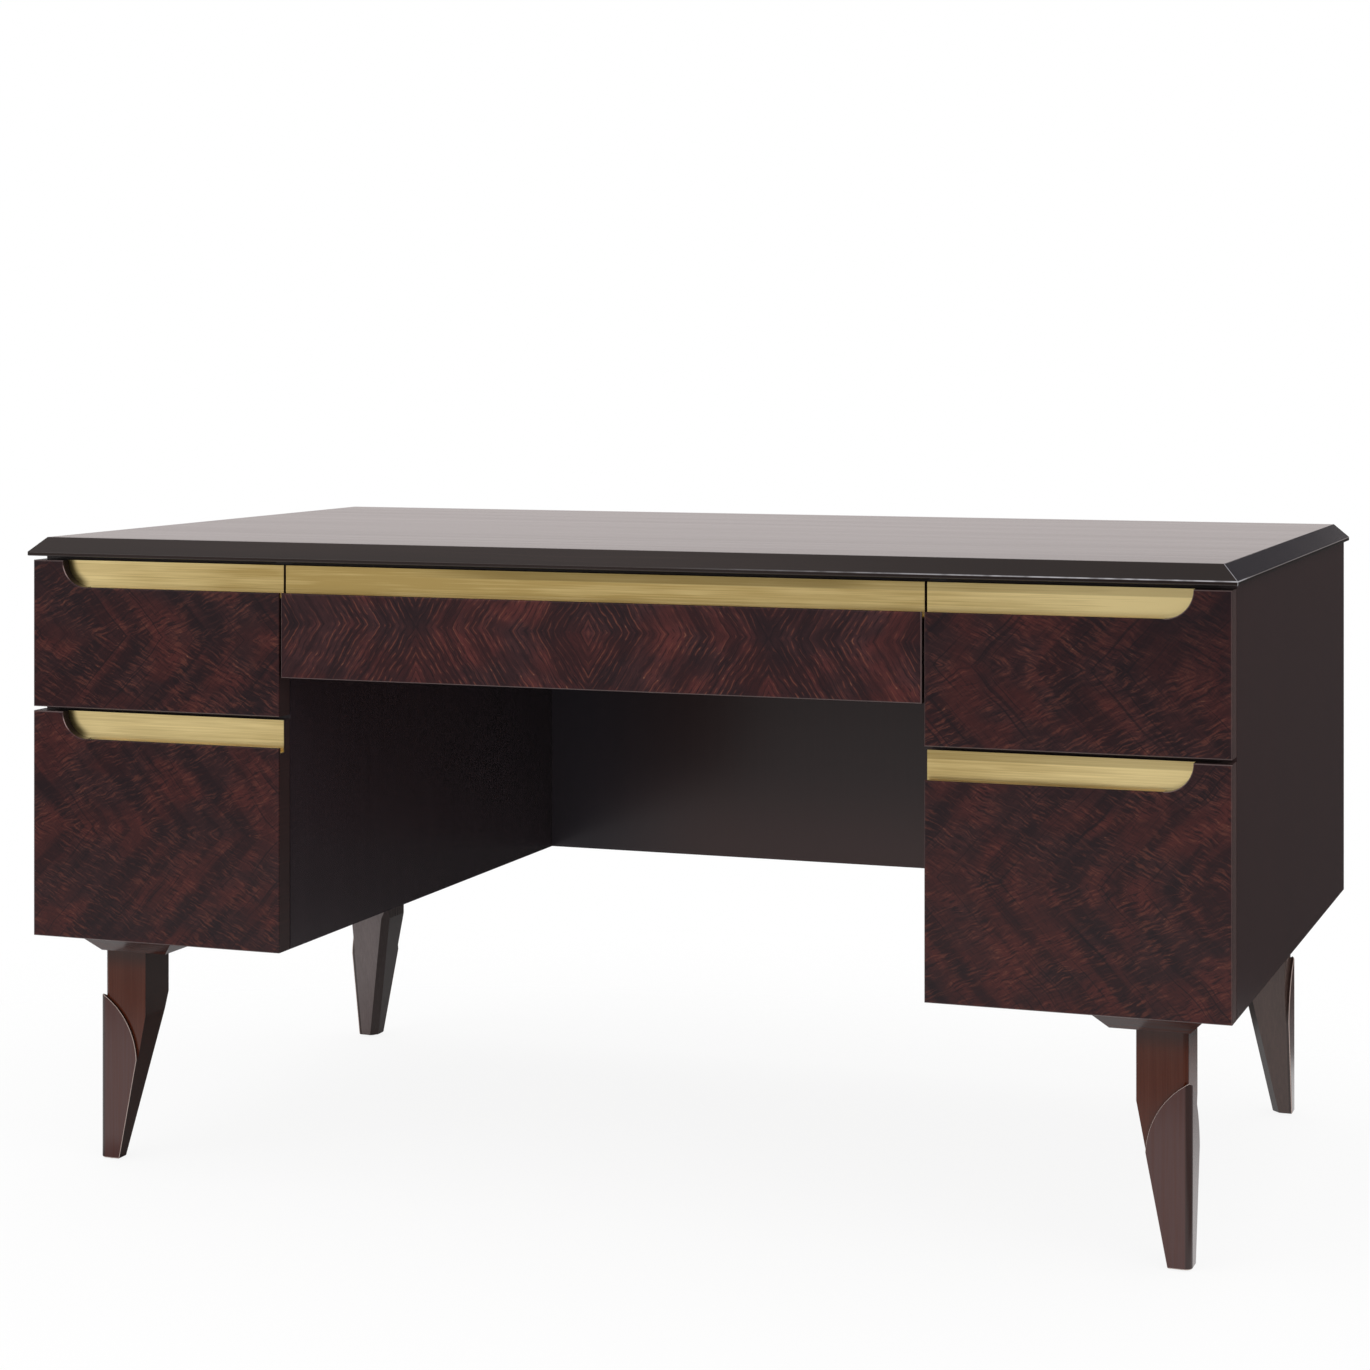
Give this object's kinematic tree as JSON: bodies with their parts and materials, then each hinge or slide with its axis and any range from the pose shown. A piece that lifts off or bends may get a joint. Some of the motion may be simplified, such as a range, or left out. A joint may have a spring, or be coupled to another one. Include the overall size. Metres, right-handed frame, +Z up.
{
  "type": "writing desk",
  "caption": "Pedestal writing desk with dark figured drawer fronts, recessed brass finger pulls, bevelled top and tapered legs with raised leaves.",
  "frame": {"origin": "on the floor under the middle of the desk top", "axes": "+Z up, +X to the sitter's right hand side seen from the front, the drawer fronts face -Y"},
  "size_m": [1.46, 0.867, 0.762],
  "materials": {
    "top_lacquer": "very dark brown veneer under clear high gloss lacquer",
    "case_lacquer": "near black brown veneer under high gloss lacquer",
    "figured_veneer": "dark red brown figured veneer, matched in arrow patterns, under high gloss lacquer",
    "leg_lacquer": "dark brown solid wood with satin lacquer",
    "frame_wood": "dark stained wood",
    "drawer_box_wood": "clear lacquered light hardwood",
    "brushed_brass": "fine brushed brass",
    "slide_steel": "zinc plated steel",
    "hardware_steel": "zinc plated steel"
  },
  "bodies": {
    "carcass": {"back_left_leg": "leg_lacquer", "back_left_leg_block": "leg_lacquer", "back_panel": "case_lacquer", "back_right_leg": "leg_lacquer", "back_right_leg_block": "leg_lacquer", "centre_outer_slides": "slide_steel", "desk_top": "top_lacquer", "divider_rails": "frame_wood", "foot_glides": "hardware_steel", "front_left_leg": "leg_lacquer", "front_left_leg_block": "leg_lacquer", "front_right_leg": "leg_lacquer", "front_right_leg_block": "leg_lacquer", "left_inner_side": "case_lacquer", "left_outer_side": "case_lacquer", "left_outer_slides": "slide_steel", "left_pedestal_floor": "frame_wood", "leg_nuts": "hardware_steel", "leg_studs": "hardware_steel", "right_inner_side": "case_lacquer", "right_outer_side": "case_lacquer", "right_outer_slides": "slide_steel", "right_pedestal_floor": "frame_wood", "top_rails": "frame_wood", "top_screws": "hardware_steel"},
    "upper_left_drawer": {"upper_left_box_bottom": "drawer_box_wood", "upper_left_box_ends": "drawer_box_wood", "upper_left_box_sides": "drawer_box_wood", "upper_left_front": "figured_veneer", "upper_left_inner_slides": "slide_steel", "upper_left_pull": "brushed_brass"},
    "upper_left_slide_middle": {"upper_left_middle_slides": "slide_steel"},
    "lower_left_drawer": {"lower_left_box_bottom": "drawer_box_wood", "lower_left_box_ends": "drawer_box_wood", "lower_left_box_sides": "drawer_box_wood", "lower_left_front": "figured_veneer", "lower_left_inner_slides": "slide_steel", "lower_left_pull": "brushed_brass"},
    "lower_left_slide_middle": {"lower_left_middle_slides": "slide_steel"},
    "centre_drawer": {"centre_box_bottom": "drawer_box_wood", "centre_box_ends": "drawer_box_wood", "centre_box_sides": "drawer_box_wood", "centre_front": "figured_veneer", "centre_inner_slides": "slide_steel", "centre_pull": "brushed_brass"},
    "centre_slide_middle": {"centre_middle_slides": "slide_steel"},
    "upper_right_drawer": {"upper_right_box_bottom": "drawer_box_wood", "upper_right_box_ends": "drawer_box_wood", "upper_right_box_sides": "drawer_box_wood", "upper_right_front": "figured_veneer", "upper_right_inner_slides": "slide_steel", "upper_right_pull": "brushed_brass"},
    "upper_right_slide_middle": {"upper_right_middle_slides": "slide_steel"},
    "lower_right_drawer": {"lower_right_box_bottom": "drawer_box_wood", "lower_right_box_ends": "drawer_box_wood", "lower_right_box_sides": "drawer_box_wood", "lower_right_front": "figured_veneer", "lower_right_inner_slides": "slide_steel", "lower_right_pull": "brushed_brass"},
    "lower_right_slide_middle": {"lower_right_middle_slides": "slide_steel"}
  },
  "joints": [
    {"name": "upper_left_drawer_slide", "type": "slide", "parent": "carcass", "child": "upper_left_drawer", "axis": [0, -1, 0], "range_m": [0, 0.54]},
    {"name": "lower_left_drawer_slide", "type": "slide", "parent": "carcass", "child": "lower_left_drawer", "axis": [0, -1, 0], "range_m": [0, 0.54]},
    {"name": "centre_drawer_slide", "type": "slide", "parent": "carcass", "child": "centre_drawer", "axis": [0, -1, 0], "range_m": [0, 0.37]},
    {"name": "upper_right_drawer_slide", "type": "slide", "parent": "carcass", "child": "upper_right_drawer", "axis": [0, -1, 0], "range_m": [0, 0.54]},
    {"name": "lower_right_drawer_slide", "type": "slide", "parent": "carcass", "child": "lower_right_drawer", "axis": [0, -1, 0], "range_m": [0, 0.54]},
    {"name": "upper_left_middle_slide", "type": "slide", "parent": "carcass", "child": "upper_left_slide_middle", "axis": [0, -1, 0], "range_m": [0, 0.27]},
    {"name": "lower_left_middle_slide", "type": "slide", "parent": "carcass", "child": "lower_left_slide_middle", "axis": [0, -1, 0], "range_m": [0, 0.27]},
    {"name": "centre_middle_slide", "type": "slide", "parent": "carcass", "child": "centre_slide_middle", "axis": [0, -1, 0], "range_m": [0, 0.185]},
    {"name": "upper_right_middle_slide", "type": "slide", "parent": "carcass", "child": "upper_right_slide_middle", "axis": [0, -1, 0], "range_m": [0, 0.27]},
    {"name": "lower_right_middle_slide", "type": "slide", "parent": "carcass", "child": "lower_right_slide_middle", "axis": [0, -1, 0], "range_m": [0, 0.27]}
  ],
  "couplings": [
    {"joint": "upper_left_middle_slide", "follows": "upper_left_drawer_slide", "ratio": 0.5},
    {"joint": "lower_left_middle_slide", "follows": "lower_left_drawer_slide", "ratio": 0.5},
    {"joint": "centre_middle_slide", "follows": "centre_drawer_slide", "ratio": 0.5},
    {"joint": "upper_right_middle_slide", "follows": "upper_right_drawer_slide", "ratio": 0.5},
    {"joint": "lower_right_middle_slide", "follows": "lower_right_drawer_slide", "ratio": 0.5}
  ]
}
